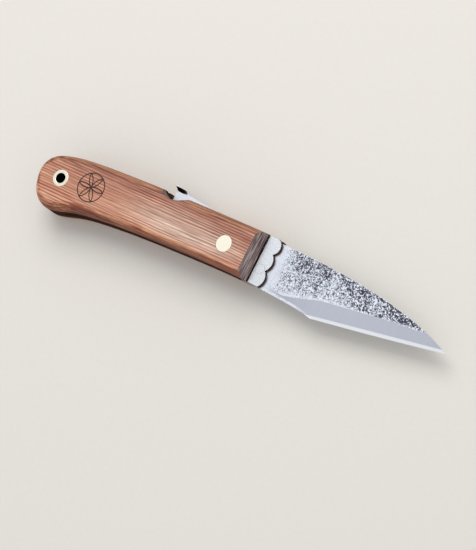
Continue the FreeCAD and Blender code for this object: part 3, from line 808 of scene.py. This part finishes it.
def anywhere(middle):
    """Lets every sharp edge be rounded over."""
    return True


def on_blade_back(middle):
    """Picks the edges along the blade's back, ahead of the grip and short of the tip."""
    return BACK_FROM * MM < middle.x < BACK_TO * MM and middle.y > BACK_ABOVE * MM


def softened(name, finish, width, where=anywhere, crisp=SHARP):
    """A copy of a CAD node with its sharp edges rounded over, which stands for the node.

    The width is in mm. Edges that turn by more than the crisp angle and are not rounded over
    keep a hard line.
    """
    node = frame["nodes"][name]
    shape = bmesh.new()
    shape.from_mesh(node.data)
    bmesh.ops.remove_doubles(shape, verts=shape.verts, dist=SAME_PLACE)
    bmesh.ops.dissolve_limit(shape, verts=shape.verts, edges=shape.edges,
                             angle_limit=SAME_PLANE)
    sharp = [
        edge for edge in shape.edges
        if edge.is_manifold and edge.calc_face_angle() > SHARP
        and where((edge.verts[0].co + edge.verts[1].co) / 2)
    ]
    for face in shape.faces:
        face.smooth = True
    for edge in set(shape.edges) - set(sharp):
        edge.smooth = not edge.is_manifold or edge.calc_face_angle() < crisp
    bmesh.ops.bevel(shape, geom=sharp, offset=width * MM, segments=ROUND_STEPS,
                    profile=ROUND_PROFILE, affect="EDGES", clamp_overlap=True)
    mesh = bpy.data.meshes.new(name + "_softened")
    shape.to_mesh(mesh)
    shape.free()
    mesh.materials.append(finish)
    piece = bpy.data.objects.new(name + "_softened", mesh)
    bpy.context.scene.collection.objects.link(piece)
    even = piece.modifiers.new("Even shading", "WEIGHTED_NORMAL")
    even.keep_sharp = True
    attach(piece, node["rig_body"])
    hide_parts(name)
    return piece


def finish_nodes(names, material):
    """Gives a material to CAD nodes, which keep their own shape."""
    for name in names:
        for slot in frame["nodes"][name].material_slots:
            slot.material = material


class KNIFE_OT_wood_scales(bpy.types.Operator):
    """Finish the two wood scales of the grip"""

    bl_idname = "knife.wood_scales"
    bl_label = "Wood Scales"

    def execute(self, context):
        wood = laminated_wood(context.scene.knife_wood)
        for name in ("right_scale", "left_scale"):
            softened(name, wood, WOOD_ROUND)
        return {"FINISHED"}


class KNIFE_OT_blade(bpy.types.Operator):
    """Finish the blade"""

    bl_idname = "knife.blade"
    bl_label = "Blade"

    def execute(self, context):
        steel = forged_blade_steel(context.scene.knife_steel)
        softened("blade", steel, BLADE_ROUND, on_blade_back, GRIND_LINE)
        return {"FINISHED"}


class KNIFE_OT_liners(bpy.types.Operator):
    """Finish the liners and the pins that end flush in them"""

    bl_idname = "knife.liners"
    bl_label = "Liners and Pins"

    def execute(self, context):
        steel = polished_plate_steel(context.scene.knife_steel)
        for name in ("right_liner", "left_liner"):
            softened(name, steel, LINER_ROUND)
        finish_nodes(("pivot_pin", "lock_bar_pin", "spring_pin", "spacer_pins"), steel)
        return {"FINISHED"}


class KNIFE_OT_fibre_sheets(bpy.types.Operator):
    """Finish the black fibre sheets between liners and scales"""

    bl_idname = "knife.fibre_sheets"
    bl_label = "Fibre Sheets"

    def execute(self, context):
        fibre = vulcanised_fibre(context.scene.knife_trim)
        finish_nodes(("right_fibre_sheet", "left_fibre_sheet"), fibre)
        return {"FINISHED"}


class KNIFE_OT_brass(bpy.types.Operator):
    """Finish the brass studs and the lanyard tube"""

    bl_idname = "knife.brass"
    bl_label = "Brass"

    def execute(self, context):
        brass = turned_brass(context.scene.knife_trim)
        for name in ("right_brass_stud", "left_brass_stud", "lanyard_tube"):
            softened(name, brass, BRASS_ROUND)
        return {"FINISHED"}


class KNIFE_OT_lock(bpy.types.Operator):
    """Finish the lock lever, its spring and the back spacer"""

    bl_idname = "knife.lock"
    bl_label = "Lock"

    def execute(self, context):
        steel = context.scene.knife_steel
        softened("lock_bar", satin_lever_steel(steel), LEVER_ROUND)
        # The back spacer and the spring are drawn near black: painted shade inside the grip.
        grip_steel_shade = shaded_grip_steel(steel)
        softened("back_spacer", grip_steel_shade, SPACER_ROUND)
        finish_nodes(("lock_spring",), grip_steel_shade)
        return {"FINISHED"}


def pale_paper(stage):
    """Matte studio paper: even and pale. Its tooth is too fine to show, so it is 2 mm clouds."""
    material, tree = new_material("Studio paper, matte")
    mm = place_in_mm(tree)
    tooth = sized_noise(tree, mm, PAPER_TOOTH_SIZE, 2.0)
    shade = add_node(tree, "ShaderNodeMapRange", None,
                     {"Value": tooth, "To Min": 0.98, "To Max": 1.02})
    colour = add_node(tree, "ShaderNodeVectorMath", {"operation": "SCALE"},
                      {0: stage.floor[:3], "Scale": shade})
    surface = add_node(tree, "ShaderNodeBsdfPrincipled", None,
                       {"Base Color": colour, "Roughness": 0.9})
    add_node(tree, "ShaderNodeOutputMaterial", None, {"Surface": surface})
    return material


def add_floor(stage, height):
    """A square sheet of paper under the knife."""
    half = stage.floor_size / 2
    mesh = bpy.data.meshes.new("studio_floor")
    corners = [(-half, -half, 0), (half, -half, 0), (half, half, 0), (-half, half, 0)]
    mesh.from_pydata(corners, [], [(0, 1, 2, 3)])
    mesh.materials.append(pale_paper(stage))
    floor = bpy.data.objects.new("studio_floor", mesh)
    floor.location.z = height
    bpy.context.scene.collection.objects.link(floor)
    floor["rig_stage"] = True


def add_softbox(stage, centre):
    """One large softbox high over the knife, towards its back and its tail."""
    towards = Vector(TO_SOFTBOX).normalized()
    light = bpy.data.lights.new("softbox", "AREA")
    light.shape = "SQUARE"
    light.size = stage.light_size
    light.energy = stage.light_power
    lamp = bpy.data.objects.new("softbox", light)
    lamp.location = centre + towards * stage.light_distance
    lamp.rotation_euler = towards.to_track_quat("Z", "Y").to_euler()
    bpy.context.scene.collection.objects.link(lamp)


def add_studio_light(stage):
    """Pale light from the studio walls on all sides."""
    world = bpy.data.worlds.new("studio")
    world.use_nodes = True
    world.node_tree.nodes.clear()
    glow = add_node(world.node_tree, "ShaderNodeBackground", None,
                    {"Color": stage.sky, "Strength": stage.sky_strength})
    add_node(world.node_tree, "ShaderNodeOutputWorld", None, {"Surface": glow})
    bpy.context.scene.world = world


def add_camera(stage):
    """The camera looks down on the right side from the tip's end, with the grip upper left."""
    back = Vector(TO_CAMERA).normalized()
    right = Vector(CAMERA_UP).cross(back).normalized()
    up = back.cross(right)
    target = Vector(CAMERA_TARGET) * MM
    camera = bpy.data.cameras.new("camera")
    camera.sensor_width = SENSOR_WIDTH
    camera.lens = SENSOR_WIDTH * stage.camera_distance / (SEEN_WIDTH * MM)
    camera.clip_start = 0.05
    camera.clip_end = 20.0
    eye = bpy.data.objects.new("camera", camera)
    turn = Matrix((right, up, back)).transposed()
    place = Matrix.Translation(target + back * stage.camera_distance)
    eye.matrix_world = place @ turn.to_4x4()
    bpy.context.scene.collection.objects.link(eye)
    bpy.context.scene.camera = eye


class KNIFE_OT_stage(bpy.types.Operator):
    """Set the floor, the light and the camera"""

    bl_idname = "knife.stage"
    bl_label = "Stage"

    def execute(self, context):
        stage = context.scene.knife_stage
        low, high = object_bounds()
        add_floor(stage, low.z)
        add_softbox(stage, (low + high) / 2)
        add_studio_light(stage)
        add_camera(stage)
        context.scene.view_settings.view_transform = "Standard"
        return {"FINISHED"}


OPERATORS = (
    KNIFE_OT_wood_scales,
    KNIFE_OT_blade,
    KNIFE_OT_liners,
    KNIFE_OT_fibre_sheets,
    KNIFE_OT_brass,
    KNIFE_OT_lock,
    KNIFE_OT_stage,
)

SETTINGS = {
    "knife_wood": KnifeWoodSettings,
    "knife_steel": KnifeSteelSettings,
    "knife_trim": KnifeTrimSettings,
    "knife_stage": KnifeStageSettings,
}


class KNIFE_PT_looks(bpy.types.Panel):
    """Lists the knife's pieces and their settings"""

    bl_label = "Knife"
    bl_idname = "KNIFE_PT_looks"
    bl_space_type = "VIEW_3D"
    bl_region_type = "UI"
    bl_category = "Knife"

    def draw(self, context):
        for operator in OPERATORS:
            self.layout.operator(operator.bl_idname)
        for name, group in SETTINGS.items():
            box = self.layout.box()
            for key in group.__annotations__:
                box.prop(getattr(context.scene, name), key)


def register():
    for group in SETTINGS.values():
        bpy.utils.register_class(group)
    for name, group in SETTINGS.items():
        setattr(bpy.types.Scene, name, PointerProperty(type=group))
    for operator in OPERATORS:
        bpy.utils.register_class(operator)
    bpy.utils.register_class(KNIFE_PT_looks)


def unregister():
    bpy.utils.unregister_class(KNIFE_PT_looks)
    for operator in reversed(OPERATORS):
        bpy.utils.unregister_class(operator)
    for name in SETTINGS:
        delattr(bpy.types.Scene, name)
    for group in reversed(SETTINGS.values()):
        bpy.utils.unregister_class(group)


def main():
    """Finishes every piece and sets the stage."""
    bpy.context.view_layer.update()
    register()
    bpy.ops.knife.wood_scales()
    bpy.ops.knife.blade()
    bpy.ops.knife.liners()
    bpy.ops.knife.fibre_sheets()
    bpy.ops.knife.brass()
    bpy.ops.knife.lock()
    bpy.ops.knife.stage()


if __name__ == "__main__":
    main()
